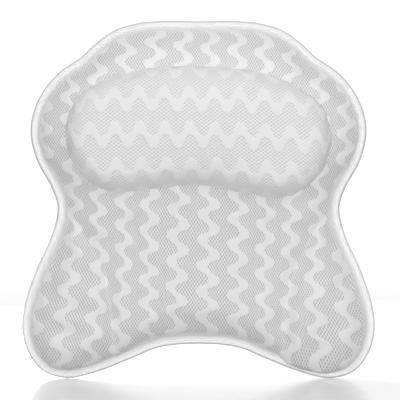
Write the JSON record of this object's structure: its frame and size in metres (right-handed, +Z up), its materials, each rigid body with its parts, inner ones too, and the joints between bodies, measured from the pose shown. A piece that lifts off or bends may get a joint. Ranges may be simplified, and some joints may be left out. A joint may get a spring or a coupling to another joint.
{
  "type": "bath pillow",
  "caption": "Butterfly-shaped bath pillow in white air mesh with a raised head cushion, bound edge, suction cups and a hanging loop.",
  "frame": {"origin": "middle of the six suction cups in the plane of their rims, which is the wall that the pillow sticks to", "axes": "+Y out of the back into the wall, -Y to the bather, +Z up, +X to the right seen from the front"},
  "size_m": [0.3794, 0.0946, 0.3848],
  "materials": {
    "wave_mesh": "matt air mesh with solid waves on a perforated ground",
    "plain_mesh": "matt perforated air mesh",
    "binding_tape": "fine ribbed woven tape",
    "fibre_filling": "soft fibre filling",
    "lining_cloth": "thin plain lining cloth",
    "clear_vinyl": "clear soft vinyl, glossy",
    "white_plastic": "moulded white plastic"
  },
  "bodies": {
    "pillow": {"front_cover": "wave_mesh", "back_cover": "plain_mesh", "edge_binding": "binding_tape", "centre_pad": "fibre_filling", "left_wing_pad": "fibre_filling", "right_wing_pad": "fibre_filling", "headrest_cover": "wave_mesh", "headrest_pad": "fibre_filling", "headrest_liner": "lining_cloth", "loop_patch": "binding_tape", "eyelet_upper_left": "white_plastic", "eyelet_upper_right": "white_plastic", "eyelet_middle_left": "white_plastic", "eyelet_middle_right": "white_plastic", "eyelet_lower_left": "white_plastic", "eyelet_lower_right": "white_plastic", "washer_upper_left": "white_plastic", "washer_upper_right": "white_plastic", "washer_middle_left": "white_plastic", "washer_middle_right": "white_plastic", "washer_lower_left": "white_plastic", "washer_lower_right": "white_plastic"},
    "cup_upper_left": {"suction_cup_upper_left": "clear_vinyl"},
    "cup_upper_right": {"suction_cup_upper_right": "clear_vinyl"},
    "cup_middle_left": {"suction_cup_middle_left": "clear_vinyl"},
    "cup_middle_right": {"suction_cup_middle_right": "clear_vinyl"},
    "cup_lower_left": {"suction_cup_lower_left": "clear_vinyl"},
    "cup_lower_right": {"suction_cup_lower_right": "clear_vinyl"},
    "loop": {"hanging_loop": "binding_tape"}
  },
  "joints": [
    {"name": "cup_swivel_upper_left", "type": "hinge", "parent": "pillow", "child": "cup_upper_left", "pos_m": [-0.09196, 0, 0.1069], "axis": [0, 1, 0], "continuous": true},
    {"name": "cup_swivel_upper_right", "type": "hinge", "parent": "pillow", "child": "cup_upper_right", "pos_m": [0.09196, 0, 0.1069], "axis": [0, 1, 0], "continuous": true},
    {"name": "cup_swivel_middle_left", "type": "hinge", "parent": "pillow", "child": "cup_middle_left", "pos_m": [-0.06992, 0, -0.00013], "axis": [0, 1, 0], "continuous": true},
    {"name": "cup_swivel_middle_right", "type": "hinge", "parent": "pillow", "child": "cup_middle_right", "pos_m": [0.06992, 0, -0.00013], "axis": [0, 1, 0], "continuous": true},
    {"name": "cup_swivel_lower_left", "type": "hinge", "parent": "pillow", "child": "cup_lower_left", "pos_m": [-0.12198, 0, -0.10601], "axis": [0, 1, 0], "continuous": true},
    {"name": "cup_swivel_lower_right", "type": "hinge", "parent": "pillow", "child": "cup_lower_right", "pos_m": [0.12198, 0, -0.10601], "axis": [0, 1, 0], "continuous": true},
    {"name": "loop_swing", "type": "hinge", "parent": "pillow", "child": "loop", "pos_m": [0, -0.0119, 0.1505], "axis": [1, 0, 0], "range_deg": [0, 90]}
  ]
}
